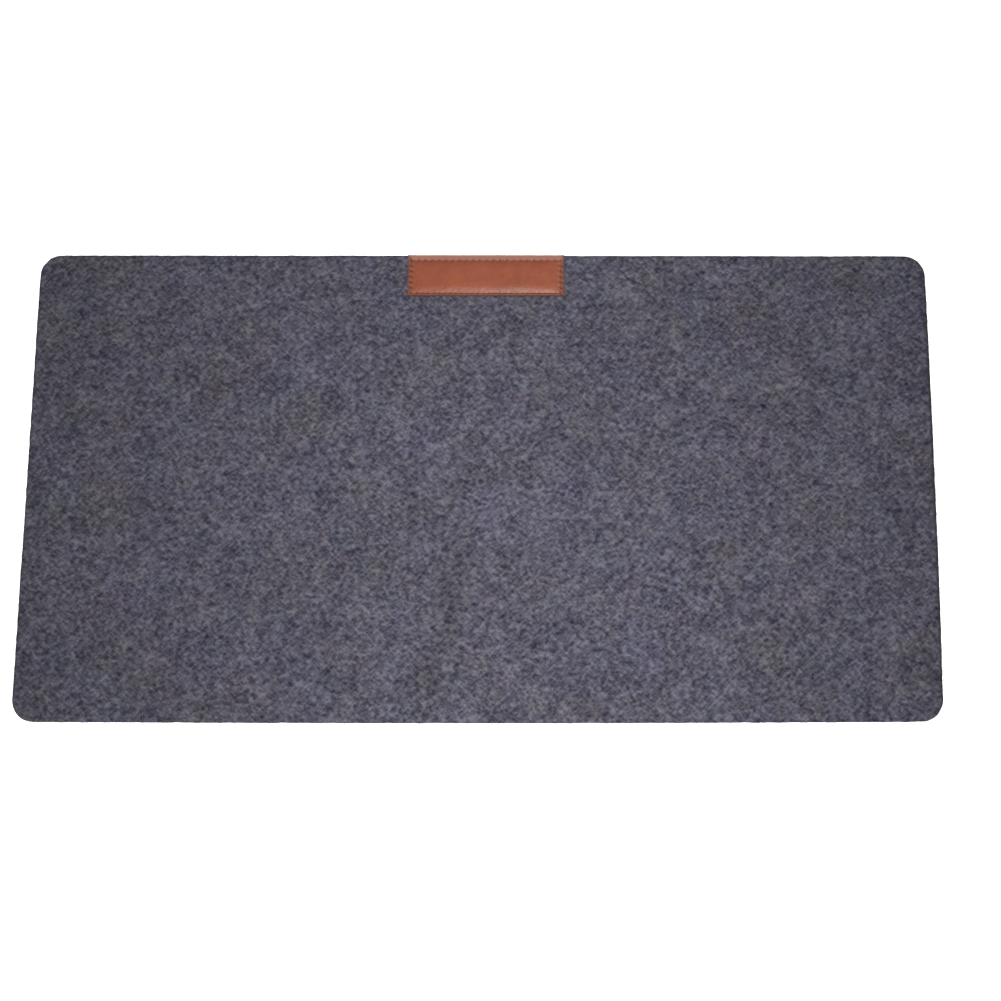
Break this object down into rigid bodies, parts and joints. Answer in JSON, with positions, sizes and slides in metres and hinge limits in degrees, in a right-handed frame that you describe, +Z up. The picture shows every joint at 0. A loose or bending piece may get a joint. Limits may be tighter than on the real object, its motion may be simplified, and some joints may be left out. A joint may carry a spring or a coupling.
{
  "type": "desk mat",
  "caption": "Flat rectangular felt desk mat with rounded corners and a leather label folded over the middle of its rear edge and sewn on with a closed row of lockstitches.",
  "frame": {"origin": "on the desk surface, under the middle of the whole mat's outline, fold of the label included", "axes": "+X along the mat's length, to the user's right; +Y from the user towards the rear edge that carries the label; +Z up from the desk"},
  "size_m": [0.63, 0.3258, 0.0042],
  "materials": {
    "felt": "needled wool-blend felt, charcoal melange with a purple cast, matt and slightly fuzzy",
    "leather": "smooth tan-brown leather with a fine pebble grain and a soft satin sheen",
    "thread": "twisted sewing thread, brown close to the leather"
  },
  "bodies": {
    "root": {"felt_panel": "felt", "leather_label": "leather", "needle_thread": "thread", "bobbin_thread": "thread"}
  },
  "joints": []
}
